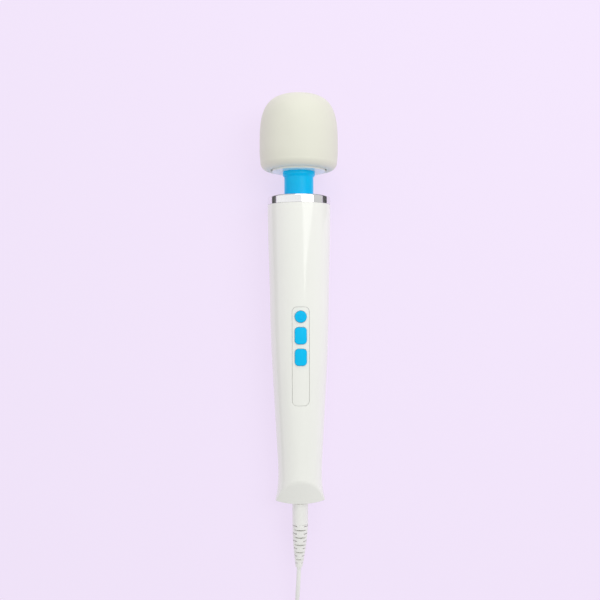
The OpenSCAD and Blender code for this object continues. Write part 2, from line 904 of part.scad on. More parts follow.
front_shell();
rear_shell();
chrome_ring();
neck_socket();
control_strip();
rating_label();
shell_screws();
screw_plugs();
circuit_board();
board_screws();
board_components();
tact_switches();
keypad();
dc_socket();
socket_leads();
motor_can();
motor_end_cap();
motor_magnets();
motor_bushes();
motor_brushes();
motor_mount_front();
motor_mount_rear();
motor_leads();
motor_shaft();
motor_armature();
commutator();
drive_hub();
drive_spring();
neck_boot();
neck_spring();
head_base();
head_drum();
head_lid();
head_bearings();
head_screws();
head_cap();
eccentric_shaft();
eccentric_weight();
weight_screw();
power_button();
up_button();
down_button();
dc_plug();
plug_grip();
strain_relief();
lead();
lead_coil();
lead_tail();
coil_tie();
adapter_relief();
adapter_base();
adapter_cover();
adapter_blades();
adapter_board();
adapter_transformer();
adapter_parts();
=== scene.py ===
"""Looks of a handheld wand massager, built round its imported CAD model.

Shapes on the wand are drawn in the wand's own frame, in millimetres: x across it, t along it from
the tail end, z out of its button side. place() turns them into the model's frame, in metres.
"""
import json
import math
import bpy
import numpy as np
from mathutils import Matrix, Vector
from mathutils.geometry import delaunay_2d_cdt


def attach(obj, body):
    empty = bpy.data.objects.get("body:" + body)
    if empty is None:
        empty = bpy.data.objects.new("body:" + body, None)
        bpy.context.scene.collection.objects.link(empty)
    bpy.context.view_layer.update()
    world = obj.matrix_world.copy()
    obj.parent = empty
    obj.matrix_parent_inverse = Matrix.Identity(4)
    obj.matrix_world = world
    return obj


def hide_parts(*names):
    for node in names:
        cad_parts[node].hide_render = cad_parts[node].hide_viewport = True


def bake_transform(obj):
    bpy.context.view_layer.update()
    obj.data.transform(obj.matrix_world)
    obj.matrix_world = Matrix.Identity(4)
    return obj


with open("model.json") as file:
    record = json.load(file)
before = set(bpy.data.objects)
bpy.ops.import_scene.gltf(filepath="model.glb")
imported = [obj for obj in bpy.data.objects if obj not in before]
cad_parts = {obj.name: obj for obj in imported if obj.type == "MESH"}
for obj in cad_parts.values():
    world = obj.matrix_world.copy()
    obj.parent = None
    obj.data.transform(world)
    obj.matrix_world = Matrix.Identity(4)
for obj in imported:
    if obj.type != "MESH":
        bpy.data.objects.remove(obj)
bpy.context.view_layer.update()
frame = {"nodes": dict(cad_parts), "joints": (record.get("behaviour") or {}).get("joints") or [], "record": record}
NODES = frame["nodes"]
JOINTS = {joint["name"]: joint for joint in frame["joints"]}
MM = 0.001

# ---------- The wand's own frame ----------

PIVOT = Vector(JOINTS["neck_tilt"]["pos_m"])
ALONG = Vector(JOINTS["motor_spin"]["axis"])
UP = Vector(JOINTS["neck_sway"]["axis"])
ACROSS = ALONG.cross(UP)
PIVOT_T = 254.0
TAIL = PIVOT - PIVOT_T * MM * ALONG
TURN = np.array([ACROSS, ALONG, UP])


def place(points):
    """Points of the wand's frame, in mm, as points of the model's frame, in metres."""
    return np.asarray(points, float) @ TURN * MM + np.array(TAIL)


def wand_points(node):
    """The points of a CAD node's mesh in the wand's frame, in mm."""
    world = np.array([v.co for v in NODES[node].data.vertices]) - np.array(TAIL)
    return world @ TURN.T / MM


def span(node):
    """Lowest and highest corner of a CAD node in the wand's frame, in mm."""
    local = wand_points(node)
    return local.min(0), local.max(0)


def size_and_centre(points):
    """Size and centre of the box round some points."""
    low, high = points.min(0), points.max(0)
    return high - low, (high + low) / 2


def footprint(node):
    """Size and centre of a CAD node in (x, t)."""
    return size_and_centre(wand_points(node)[:, :2])


# ---------- Camera, floor and light ----------

CAMERA_HEIGHT = 533.0   # the camera's place in the wand's frame: out of it, along it and across it
CAMERA_T = 176.3
CAMERA_X = -23.0
AIM_T = 162.3           # the point that it looks at
AIM_X = 0.5
ROLL = -0.25            # degrees
LENS = 40.08
SENSOR_W = 36
BACKDROP = (0.905, 0.799, 0.983)
DARK = (0.01, 0.01, 0.012)
ROOM_COLOUR = (0.96, 0.96, 0.95)
ROOM_LIGHT = 0.71
KEY_POWER = 2.4
BACK_POWER = 4.6
CARD_GLOW = 0.92
CARD_TOP = 1.3          # height of the bright cards, in metres
CARD_Z = 0.001          # the dark cards lie just over the floor
FLOOR_Z = -0.0002
FLOOR_GLOW = 0.74       # share of the floor's light that it gives out itself, so that shadows stay faint


def make_camera():
    """The photograph's view: almost square-on from above, a little to the left."""
    data = bpy.data.cameras.new("camera")
    data.sensor_width = SENSOR_W
    data.lens = LENS
    camera = bpy.data.objects.new("camera", data)
    bpy.context.scene.collection.objects.link(camera)
    eye, aim = (Vector(p) for p in place([(CAMERA_X, CAMERA_T, CAMERA_HEIGHT), (AIM_X, AIM_T, 0)]))
    back = (eye - aim).normalized()
    right = ALONG.cross(back).normalized()
    top = back.cross(right)
    turned = Matrix((right, top, back)).transposed().to_4x4()
    camera.matrix_world = Matrix.Translation(eye) @ turned @ Matrix.Rotation(math.radians(ROLL), 4, "Z")
    bpy.context.scene.camera = camera


def area_light(name, at, size, power):
    """A rectangular light that faces the origin."""
    data = bpy.data.lights.new(name, "AREA")
    data.shape = "RECTANGLE"
    data.size, data.size_y = size
    data.energy = power
    light = bpy.data.objects.new(name, data)
    bpy.context.scene.collection.objects.link(light)
    light.location = at
    light.rotation_mode = "QUATERNION"
    light.rotation_quaternion = Vector(at).to_track_quat("Z", "Y")


def stage_sheet(name, x_range, y_range, z_range):
    """A rectangle of the stage; z_range is its height at the start and at the end of x_range."""
    corners = [(x, y, z) for x, z in zip(x_range, z_range) for y in y_range]
    mesh = bpy.data.meshes.new(name)
    mesh.from_pydata(corners, [], [(0, 2, 3, 1)])
    sheet = bpy.data.objects.new(name, mesh)
    bpy.context.scene.collection.objects.link(sheet)
    return sheet


def card(name, x_range, y_range, z_range, glow):
    """A dark or bright sheet that only reflections see."""
    sheet = stage_sheet(name, x_range, y_range, z_range)
    paint = bpy.data.materials.new(name)
    paint.use_nodes = True
    bsdf = paint.node_tree.nodes["Principled BSDF"]
    bsdf.inputs["Base Color"].default_value = (*DARK, 1)
    bsdf.inputs["Emission Color"].default_value = (1, 1, 1, 1)
    bsdf.inputs["Emission Strength"].default_value = glow
    sheet.data.materials.append(paint)
    sheet.visible_camera = False
    sheet.visible_diffuse = False
    sheet.visible_shadow = False
    sheet.visible_transmission = False


def make_studio():
    """A pale floor, a bright room, a key light, a light behind the head, and cards for the gloss."""
    floor = stage_sheet("floor", (-6, 6), (-6, 6), (FLOOR_Z, FLOOR_Z))
    floor.data.materials.append(floor_material())
    card("card_left", (-0.75, -0.1), (-0.5, 0.5), (CARD_Z, CARD_Z), 0)
    card("card_right", (0.095, 1.0), (0.075, 0.6), (CARD_Z, CARD_Z), 0)
    card("card_above", (-2.6, 0.6), (-0.7, 0.9), (CARD_TOP, CARD_TOP), CARD_GLOW)
    card("card_beside", (-2.61, -2.6), (-0.7, 0.9), (0.01, CARD_TOP), CARD_GLOW)
    area_light("key", (0.5, 0.25, 0.95), (0.5, 0.75), KEY_POWER)
    area_light("back", (0.1, 1.2, 0.8), (0.8, 0.8), BACK_POWER)
    world = bpy.data.worlds.new("room")
    world.use_nodes = True
    world.node_tree.nodes["Background"].inputs["Color"].default_value = (*ROOM_COLOUR, 1)
    world.node_tree.nodes["Background"].inputs["Strength"].default_value = ROOM_LIGHT
    bpy.context.scene.world = world
    bpy.context.scene.view_settings.view_transform = "Standard"


# ---------- Materials ----------

NOISE_RANGE = (0.25, 0.75)      # where most of a noise texture's values lie
FLOW_BUMP = 0.004               # height of the mould's slow ripples, in mm
NECK_LIFT = 1.15                # how much brighter than the record's colour the blue pieces are
BUTTON_LIFT = 1.13


class Shader:
    """A Principled material and the short calls that wire its nodes."""

    def __init__(self, name, colour, roughness, **sockets):
        self.material = bpy.data.materials.new(name)
        self.material.use_nodes = True
        self.tree = self.material.node_tree
        self.bsdf = self.tree.nodes["Principled BSDF"]
        self.set("Base Color", (*colour, 1))
        self.set("Roughness", roughness)
        for socket, value in sockets.items():
            self.set(socket.replace("_", " "), value)
        self.where = self.add("ShaderNodeTexCoord").outputs["Object"]
        self.normal = None

    def set(self, socket, value):
        self.bsdf.inputs[socket].default_value = value

    def add(self, kind):
        return self.tree.nodes.new(kind)

    def link(self, output, socket):
        self.tree.links.new(output, socket)

    def noise(self, size_mm, detail, stretch=(1, 1, 1)):
        """Noise whose patches are about size_mm across, drawn out along each axis by stretch."""
        texture = self.add("ShaderNodeTexNoise")
        texture.inputs["Scale"].default_value = 1000 / size_mm
        texture.inputs["Detail"].default_value = detail
        spread = self.add("ShaderNodeMapping")
        spread.inputs["Scale"].default_value = [1 / s for s in stretch]
        self.link(self.where, spread.inputs["Vector"])
        self.link(spread.outputs["Vector"], texture.inputs["Vector"])
        return texture.outputs["Fac"]

    def tones(self, value, low, high):
        """Base colour that drifts between two tones with value."""
        ramp = self.add("ShaderNodeValToRGB")
        for element, position, tone in zip(ramp.color_ramp.elements, NOISE_RANGE, (low, high)):
            element.position = position
            element.color = (*tone, 1)
        self.link(value, ramp.inputs["Fac"])
        self.link(ramp.outputs["Color"], self.bsdf.inputs["Base Color"])

    def rough(self, value, low, high):
        """Roughness that drifts from low to high with value."""
        node = self.add("ShaderNodeMapRange")
        node.inputs["From Min"].default_value = NOISE_RANGE[0]
        node.inputs["From Max"].default_value = NOISE_RANGE[1]
        node.inputs["To Min"].default_value = low
        node.inputs["To Max"].default_value = high
        self.link(value, node.inputs["Value"])
        self.link(node.outputs["Result"], self.bsdf.inputs["Roughness"])

    def bump(self, value, height_mm):
        """Relief that follows value, on top of any relief before it."""
        node = self.add("ShaderNodeBump")
        node.inputs["Strength"].default_value = 1.0
        node.inputs["Distance"].default_value = height_mm * MM
        self.link(value, node.inputs["Height"])
        if self.normal is not None:
            self.link(self.normal, node.inputs["Normal"])
        self.normal = node.outputs["Normal"]
        self.link(self.normal, self.bsdf.inputs["Normal"])


def shade(colour, factor):
    """A colour made darker or brighter."""
    return tuple(min(1.0, c * factor) for c in colour)


def floor_material():
    """The lavender backdrop, lit partly by itself."""
    paint = shade(BACKDROP, 1 - FLOOR_GLOW)
    shader = Shader("floor", paint, 0.9)
    shader.tones(shader.noise(60, 2), shade(paint, 0.99), paint)
    shader.set("Specular IOR Level", 0.0)
    shader.set("Emission Color", (*BACKDROP, 1))
    shader.set("Emission Strength", FLOOR_GLOW)
    return shader.material


def moulded(name, colour, gloss, grain_mm=0.0006, tone=0.985):
    """Moulded plastic: faint flow tones, slow ripples of the mould and a very fine grain."""
    shader = Shader(name, colour, gloss)
    shader.tones(shader.noise(35, 2), shade(colour, tone), colour)
    shader.rough(shader.noise(6, 4), gloss * 0.85, gloss * 1.2)
    shader.bump(shader.noise(14, 2), FLOW_BUMP)
    shader.bump(shader.noise(0.35, 4), grain_mm)
    return shader.material


def silicone(name, colour, gloss, grain_mm, sheen=0.0, gleam=0.5):
    """Soft silicone: matte, with a fine even grain and slight cloudiness."""
    shader = Shader(
        name, colour, gloss, Sheen_Weight=sheen, Sheen_Roughness=0.4, Specular_IOR_Level=gleam
    )
    shader.tones(shader.noise(22, 4), shade(colour, 0.97), colour)
    shader.rough(shader.noise(4, 4), gloss * 0.93, min(1.0, gloss * 1.07))
    shader.bump(shader.noise(0.45, 5), grain_mm)
    return shader.material


def metal(name, colour, gloss, stretch=(1, 1, 1), scratch_mm=0.002):
    """Metal with fine drawn or turned marks, longest along the axis of the greatest stretch."""
    shader = Shader(name, colour, gloss, Metallic=1.0)
    marks = shader.noise(0.4, 4, stretch)
    shader.tones(shader.noise(9, 3), shade(colour, 0.93), colour)
    shader.rough(marks, gloss * 0.7, gloss * 1.4)
    shader.bump(marks, scratch_mm)
    return shader.material


def webbing(name, colour):
    """Hook and loop strap: crossed ribs under a fuzzy pile."""
    shader = Shader(name, colour, 0.95, Sheen_Weight=0.4, Sheen_Roughness=0.5)
    shader.tones(shader.noise(0.5, 4), shade(colour, 0.5), shade(colour, 1.6))
    shader.bump(shader.noise(0.3, 5), 0.12)
    return shader.material


def make_materials():
    """The material of each slot; colours come from the record."""
    record = {m["slot"]: tuple(m["base_color"][:3]) for m in frame["record"]["materials"]}
    neck_blue = shade(record["blue_silicone"], NECK_LIFT)
    button_blue = shade(record["button_blue"], BUTTON_LIFT)
    drawn = (1, 12, 1)
    return {
        "shell_white": moulded("shell_white", record["shell_white"], 0.07),
        "panel_white": moulded("panel_white", record["panel_white"], 0.1),
        "chrome": metal("chrome", record["chrome"], 0.09, scratch_mm=0.0001),
        "blue_silicone": silicone("blue_silicone", neck_blue, 0.3, 0.002, gleam=0.14),
        "button_blue": silicone("button_blue", button_blue, 0.4, 0.001, gleam=0.1),
        "head_silicone": silicone("head_silicone", record["head_silicone"], 0.62, 0.01, sheen=0.15),
        "cord_white": moulded("cord_white", record["cord_white"], 0.38, grain_mm=0.004),
        "plug_white": moulded("plug_white", record["plug_white"], 0.3, grain_mm=0.003),
        "grey_plastic": moulded("grey_plastic", record["grey_plastic"], 0.5, 0.006, tone=0.9),
        "black_plastic": moulded("black_plastic", record["black_plastic"], 0.45, 0.006, tone=0.8),
        "black_rubber": silicone("black_rubber", record["black_rubber"], 0.75, 0.01),
        "steel": metal("steel", record["steel"], 0.28, drawn),
        "brass": metal("brass", record["brass"], 0.25, (8, 1, 8)),
        "copper": metal("copper", record["copper"], 0.35, drawn, 0.02),
        "magnet": metal("magnet", record["magnet"], 0.6),
        "board_green": moulded("board_green", record["board_green"], 0.3, 0.004, tone=0.8),
        "wire_red": silicone("wire_red", record["wire_red"], 0.5, 0.003),
        "wire_blue": silicone("wire_blue", record["wire_blue"], 0.5, 0.003),
        "label_silver": metal("label_silver", record["label_silver"], 0.38, drawn, 0.001),
        "tie_black": webbing("tie_black", record["tie_black"]),
    }


def dress_cad_nodes():
    """Every CAD node takes the material of its slot."""
    for part in frame["record"]["subparts"]:
        slots = NODES[part["node"]].data.materials
        slots.clear()
        slots.append(MATERIALS[part["material_slot"]])


# ---------- Mesh building ----------


class Skin:
    """A surface made of points with their own normals, in the wand's frame."""

    def __init__(self):
        self.points, self.normals, self.faces = [], [], []
        self.known = {}

    def add(self, point, normal):
        key = (*np.round(point, 4), *np.round(normal, 2))
        if key not in self.known:
            self.known[key] = len(self.points)
            self.points.append(np.asarray(point, float))
            self.normals.append(np.asarray(normal, float))
        return self.known[key]

    def face(self, corners):
        corners = list(dict.fromkeys(corners))
        if len(corners) > 2:
            self.faces.append(corners)

    def grid(self, points, normals, closed=False):
        """Faces between rows of points; closed joins each row's end to its start."""
        ids = [[self.add(p, n) for p, n in zip(ps, ns)] for ps, ns in zip(points, normals)]
        width = len(ids[0])
        for a, b in zip(ids, ids[1:]):
            for k in range(width if closed else width - 1):
                j = (k + 1) % width
                self.face([a[k], a[j], b[j], b[k]])

    def finish(self, name, slot, body, replaced=()):
        points = np.array(self.points)
        normals = np.array(self.normals)
        faces = [outwards(face, points, normals) for face in self.faces]
        mesh = bpy.data.meshes.new(name)
        mesh.from_pydata(place(points).tolist(), [], faces)
        mesh.shade_smooth()
        mesh.normals_split_custom_set_from_vertices((normals @ TURN).tolist())
        return finish_piece(mesh, name, slot, body, replaced)


def outwards(face, points, normals):
    """The face, turned so that it looks the way its points' normals do."""
    corners = points[face]
    ahead = np.roll(corners, -1, 0)
    looks = np.cross(corners - corners[0], ahead - corners[0]).sum(0)
    return face if looks @ normals[face].sum(0) > 0 else face[::-1]


def finish_piece(mesh, name, slot, body, replaced):
    """A mesh as a visible piece with its material, its body and the CAD nodes that it replaces."""
    piece = bpy.data.objects.new(name, mesh)
    bpy.context.scene.collection.objects.link(piece)
    mesh.materials.append(MATERIALS[slot])
    if body:
        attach(piece, body)
    if replaced:
        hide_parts(*replaced)
    return piece


def unit(v):
    """Vectors scaled to length 1."""
    v = np.asarray(v, float)
    return v / np.linalg.norm(v, axis=-1, keepdims=True)


ARC_STEPS = 8


def rounded_path(corners):
    """Points and outward normals of an outline in (r, t) whose corners (r, t, radius) are rounded.

    The outline runs so that its outside is on the left.
    """
    flat = np.array([c[:2] for c in corners], float)
    points, normals = [], []
    for i, (*_, radius) in enumerate(corners):
        here = flat[i]
        sides = []
        if i > 0:
            sides.append(unit(here - flat[i - 1]))
        if i < len(corners) - 1:
            sides.append(unit(flat[i + 1] - here))
        facing = [np.array([-s[1], s[0]]) for s in sides]
        if len(sides) == 1 or radius == 0:
            points += [here] * len(facing)
            normals += facing
            continue
        turn = math.atan2(sides[0][0] * sides[1][1] - sides[0][1] * sides[1][0], sides[0] @ sides[1])
        bulge = 1 if turn < 0 else -1
        start = here - sides[0] * (radius * math.tan(abs(turn) / 2))
        centre = start - facing[0] * radius * bulge
        for k in range(ARC_STEPS + 1):
            a = turn * k / ARC_STEPS
            normal = np.array([[math.cos(a), -math.sin(a)], [math.sin(a), math.cos(a)]]) @ facing[0]
            points.append(centre + normal * radius * bulge)
            normals.append(normal)
    return np.array(points), np.array(normals)


def hoop(point, angles):
    """An (r, t) point or normal, turned about the wand's axis by each of the angles."""
    r, t = point
    return np.stack([r * np.cos(angles), np.full(len(angles), t), r * np.sin(angles)], 1)


def turned(skin, path, facing, segments):
    """Turns an outline of (r, t) points about the wand's axis."""
    angles = np.linspace(0, 2 * np.pi, segments, endpoint=False)
    for a, b, normal_a, normal_b in zip(path, path[1:], facing, facing[1:]):
        if np.allclose(a, b):
            continue
        rows = [hoop(a, angles), hoop(b, angles)]
        skin.grid(rows, [hoop(normal_a, angles), hoop(normal_b, angles)], closed=True)


# ---------- Lead ----------

CORD_D = 3.6
COIL_D = 43.0           # across the middle of the turns
COIL_TURNS = 12
TURNS_PER_ROW = 3
LINE_STEPS = 4          # points on the line for each step of a route, and for each turn of the coil
STEPS_PER_TURN = 40
CLIMB = 0.3             # part of a turn in which the coil climbs to its next layer

# The lead's route and its coil are those of the CAD model, in mm of the model's frame
LEAD_ROUTE = [
    (-1.2, -214.8, 15.9), (-1.5, -222, 15.4), (-1.9, -230, 14.1), (-2.3, -238, 11.9), (-2.6, -246, 8.9),
    (-2.8, -254, 5.7), (-2.9, -262, 3.2), (-3, -270, 2), (-3, -278, 1.8), (-3, -286, 1.8),
    (-3, -296, 2.2), (-3, -306, 2.55),
]
TAIL_ROUTE = [
    (-3, -306, 13.35), (-3, -314, 13.35), (-2.8, -322, 13.7), (-2.4, -330, 14.3), (-2.1, -338, 14.8),
    (-2, -344, 15),
]


def smooth_line(route):
    """Points on a smooth line through a route."""
    route = [np.array(p, float) for p in route]
    line = []
    for i in range(len(route) - 1):
        a, b, c, d = (route[min(max(k, 0), len(route) - 1)] for k in (i - 1, i, i + 1, i + 2))
        for step in range(LINE_STEPS):
            u = step / LINE_STEPS
            bend = (c - a) * u + (2 * a - 5 * b + 4 * c - d) * u**2 + (3 * b - a - 3 * c + d) * u**3
            line.append(b + 0.5 * bend)
    return line + [route[-1]]


def swing(layer):
    """1 at the outside of the coil and 0 at its inside: the turns go in and out, layer by layer.

    It is a mean over a twentieth of a layer each way, which rounds the two turning points.
    """
    offsets = [k / 60 for k in range(-3, 4)]
    return sum(abs(1 - (layer + offset) % 2) for offset in offsets) / len(offsets)


def smoothstep(x):
    """0 below 0 and 1 above 1, with a smooth rise between them."""
    x = min(max(x, 0.0), 1.0)
    return x * x * (3 - 2 * x)


def coil_line(start):
    """The turns of the coil: each layer spirals in or out, and lies on the one before it."""
    outer = COIL_D / 2 + TURNS_PER_ROW * CORD_D / 2
    centre = np.array([start[0] - outer, start[1], start[2]])
    climbs = [TURNS_PER_ROW * k for k in range(1, COIL_TURNS // TURNS_PER_ROW)]
    line = []
    for step in range(1, COIL_TURNS * STEPS_PER_TURN):
        turn = step / STEPS_PER_TURN
        radius = outer - TURNS_PER_ROW * CORD_D * (1 - swing(turn / TURNS_PER_ROW))
        rise = sum(smoothstep((turn - climb + CLIMB / 2) / CLIMB) for climb in climbs)
        a = -2 * math.pi * turn
        line.append(centre + [radius * math.cos(a), radius * math.sin(a), rise * CORD_D])
    return line


def make_lead():
    """The whole lead as one curve: out of the relief, round the coil and up to the adapter."""
    line = smooth_line(LEAD_ROUTE) + coil_line(LEAD_ROUTE[-1]) + smooth_line(TAIL_ROUTE)
    curve = bpy.data.curves.new("lead_cable", "CURVE")
    curve.dimensions = "3D"
    curve.bevel_depth = CORD_D / 2 * MM
    curve.bevel_resolution = 5
    curve.use_fill_caps = True
    spline = curve.splines.new("POLY")
    spline.points.add(len(line) - 1)
    for point, p in zip(spline.points, line):
        point.co = (*(np.array(p) * MM), 1)
    spline.use_smooth = True
    cable = bpy.data.objects.new("lead_cable", curve)
    bpy.context.scene.collection.objects.link(cable)
    curve.materials.append(MATERIALS["cord_white"])
    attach(cable, "lead")
    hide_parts("lead", "lead_coil", "lead_tail")


# ---------- Handle ----------

REF_R = 22.0            # radius at which the handle's surface is unrolled
SHELL_NET = (1.5, 2.4)  # spacing of the net on the handle, round it and along it
RIM_CLEAR = 0.3         # least distance of a net's own points from a rim, in spacings, squared
ROLL_STEPS = 4
SEAM = 0.18             # fillet along each edge of the shells
SEAM_GAP = 0.06
SEAM_Z = SEAM + SEAM_GAP / 2
EDGE_DEPTH = 1.5        # how deep the wall along each edge goes
RING_GAP = 0.03         # between the shells and the ring
BODY_T = 28.0           # where the plain turned body begins
BODY_ROWS = 90
TOP_COLUMNS = 60
END_DOME_R = 120.0
FACET_Z = 8.0
FACET_SLOPE = math.radians(25)
FACET_R = 40.0
TAIL_SOFT = 0.8         # fillet between the faces of the tail
TAIL_CORE_T = 22.0      # the tail's net is where rays from this far up the axis leave it
TAIL_REACH = 60.0       # a length that ends outside the tail
TAIL_HALVINGS = 45
TAIL_ROWS = 130
TAIL_COLUMNS = 170
SOCKET_R = 4.4
SOCKET_DEPTH = 2.5
LEAN = math.asin(ALONG.z)

STRIP_CORNER = 3.8
STRIP_GAP = 0.2         # round the strip, and round each button
STRIP_T = 1.5
STRIP_RECESS = 0.15
STRIP_SOFT = 0.1
STRIP_LEDGE = 1.2
PLUG_R = 3.6            # covers of the shell screws
WELL_DEPTH = 2.5
LABEL_CORNER = 2
LABEL_GAP = 0.1
LABEL_RECESS = 0.3


def handle_outline():
    """Radius of the handle along the wand, fitted to the CAD shell's edge on its parting plane.

    The shell's outer edge is what lies beyond 0.92 of the widest point within 4 mm, past the tail's
    first 2 mm.
    """
    local = wand_points("rear_shell")
    edge = local[np.abs(local[:, 2]) < 0.01]
    t, r = edge[:, 1], np.abs(edge[:, 0])
    widest = np.array([r[np.abs(t - at) < 4].max() for at in t])
    outer = (r > 0.92 * widest) & (t > 2)
    return np.polynomial.Chebyshev.fit(t[outer], r[outer], 10)


OUTLINE = handle_outline()
OUTLINE_SLOPE = OUTLINE.deriv()


def unrolled(loop):
    """A loop of (x, t) points as (u, t) points, where u runs round the handle."""
    loop = np.asarray(loop, float)
    return np.stack([REF_R * np.arcsin(loop[:, 0] / OUTLINE(loop[:, 1])), loop[:, 1]], 1)


def on_handle(side, depth=0.0, crown=None):
    """Surface of the handle's front (side 1) or back (side -1), depth under it, with its normals."""

    def point(uv):
        turn = uv[:, 0] / REF_R
        radius = OUTLINE(uv[:, 1]) - depth
        if crown is not None:
            radius = radius + crown(radius * np.sin(turn), uv[:, 1])
        return np.stack([radius * np.sin(turn), uv[:, 1], side * radius * np.cos(turn)], 1)

    def surface(uv, step=1e-3):
        uv = np.asarray(uv, float)
        across = point(uv + [step, 0]) - point(uv - [step, 0])
        along = point(uv + [0, step]) - point(uv - [0, step])
        return point(uv), side * unit(np.cross(across, along))

    return surface


def inside(points, loops):
    """Which points lie inside the first loop and outside the others."""
    crossings = np.zeros(len(points), int)
    for loop in loops:
        for (x0, y0), (x1, y1) in zip(loop, np.roll(loop, -1, 0)):
            if y0 == y1:
                continue
            level = (points[:, 1] >= min(y0, y1)) & (points[:, 1] < max(y0, y1))
            crossings += level & (points[:, 0] < x0 + (points[:, 1] - y0) * (x1 - x0) / (y1 - y0))
    return crossings % 2 == 1


def patch(skin, surface, loops, spacing):
    """Covers a surface inside the first loop and outside the others with an even net."""
    rims = np.vstack(loops)
    low, high = rims.min(0), rims.max(0)
    columns = np.arange(low[0], high[0], spacing[0])
    rows = np.arange(low[1], high[1], spacing[1])
    net = np.stack(np.meshgrid(columns, rows), -1).reshape(-1, 2)
    net = net[inside(net, loops)]
    gaps = np.array([np.min(np.sum(((rims - p) / spacing) ** 2, 1)) for p in net])
    flat = np.vstack([rims, net[gaps > RIM_CLEAR]])
    edges, first = [], 0
    for loop in loops:
        count = len(loop)
        edges += [(first + k, first + (k + 1) % count) for k in range(count)]
        first += count
    _, _, faces, origins, _, _ = delaunay_2d_cdt([Vector(p) for p in flat], edges, [], 0, 1e-6)
    faces = np.array([[origins[corner][0] for corner in face] for face in faces])
    faces = faces[inside(flat[faces].mean(1), loops)]
    points, normals = surface(flat)
    ids = [skin.add(p, n) for p, n in zip(points, normals)]
    for face in faces:
        skin.face([ids[corner] for corner in face])


def roll_over(skin, points, normals, away, radius, depth, closed=True, ledge=0.0):
    """Rolls a rim over towards a gap: a fillet, a wall as deep as depth, and at its foot a ledge."""
    rows, facing = [points], [normals]
    for angle in np.linspace(0, np.pi / 2, ROLL_STEPS + 1)[1:]:
        face = normals * np.cos(angle) + away * np.sin(angle)
        rows.append(points + (face - normals) * radius)
        facing.append(face)
    rows.append(rows[-1] - normals * depth)
    facing.append(away)
    skin.grid(rows, facing, closed)
    if ledge:
        skin.grid([rows[-1], rows[-1] + away * ledge], [normals, normals], closed)


def loop_facing(loop):
    """Unit vectors that point out of a loop that runs anticlockwise."""
    ahead = np.roll(loop, -1, 0) - np.roll(loop, 1, 0)
    return unit(np.stack([ahead[:, 1], -ahead[:, 0]], 1))


def rim(skin, surface, loop, out, radius, depth, ledge=0.0):
    """The rolled rim of a patch along a loop; out is 1 for its outline and -1 for a hole."""
    points, normals = surface(loop)
    beside, _ = surface(loop + 0.01 * out * loop_facing(loop))      # a hair's breadth past the rim
    roll_over(skin, points, normals, unit(beside - points), radius, depth, ledge=ledge)


def rounded_loop(size, corner, centre, margin, step=0.9):
    """An anticlockwise rounded rectangle (or circle) in (x, t), grown by margin, as an unrolled loop."""
    reach = np.asarray(size, float) / 2 + margin
    radius = corner + margin
    arc = np.linspace(0, np.pi / 2, 13)
    turns = [arc + k * np.pi / 2 for k in range(4)]
    signs = [(1, 1), (-1, 1), (-1, -1), (1, -1)]
    corners = [
        np.array(sign) * (reach - radius) + radius * np.stack([np.cos(turn), np.sin(turn)], 1)
        for sign, turn in zip(signs, turns)
    ]
    loop = []
    for here, after in zip(corners, corners[1:] + corners[:1]):
        loop += list(here)
        length = np.linalg.norm(after[0] - here[-1])
        if length < 1e-6:
            loop.pop()
            continue
        count = max(1, round(length / step))
        loop += [here[-1] + (after[0] - here[-1]) * k / count for k in range(1, count)]
    return unrolled(np.array(loop) + centre)


def tail_excess(p):
    """Below zero inside the tail, whose side, end, slanted facet and heel meet in soft edges."""
    x, t, z = p[..., 0], p[..., 1], p[..., 2]
    side = (np.hypot(x, z) - OUTLINE(t)) / np.hypot(1, OUTLINE_SLOPE(t))
    end = np.sqrt(x**2 + (t - END_DOME_R) ** 2 + z**2) - END_DOME_R
    rise = (z - FACET_Z) * math.cos(FACET_SLOPE) - t * math.sin(FACET_SLOPE)
    facet = np.hypot(x, rise + FACET_R) - FACET_R
    heel = -(TAIL.z / MM + t * math.sin(LEAN) + z * math.cos(LEAN))
    faces = np.stack([side, end, facet, heel])
    return np.sum(np.maximum(faces + TAIL_SOFT, 0) ** 2, 0) - TAIL_SOFT**2


def tail_net(side):
    """Rows of points on the tail, from the socket's rim to the body, and the way each faces."""
    centre = np.array([0, TAIL_CORE_T, side * SEAM_Z])
    first = math.atan((SOCKET_R + SEAM) / TAIL_CORE_T)
    last = math.pi / 2 + math.atan((BODY_T - TAIL_CORE_T) / OUTLINE(BODY_T))
    polars = np.linspace(first, last, TAIL_ROWS)
    polar, turn = np.meshgrid(polars, np.linspace(0, np.pi, TAIL_COLUMNS), indexing="ij")
    across = np.sin(polar) * np.cos(turn)
    rise = side * np.sin(polar) * np.sin(turn)
    ways = np.stack([across, -np.cos(polar), rise], -1)
    near, far = np.zeros(polar.shape), np.full(polar.shape, TAIL_REACH)
    for _ in range(TAIL_HALVINGS):
        middle = (near + far) / 2
        out = tail_excess(centre + middle[..., None] * ways) > 0
        near, far = np.where(out, near, middle), np.where(out, middle, far)
    points = centre + near[..., None] * ways
    step = 1e-3 * np.eye(3)
    slopes = [tail_excess(points + d) - tail_excess(points - d) for d in step]
    return points, unit(np.stack(slopes, -1))


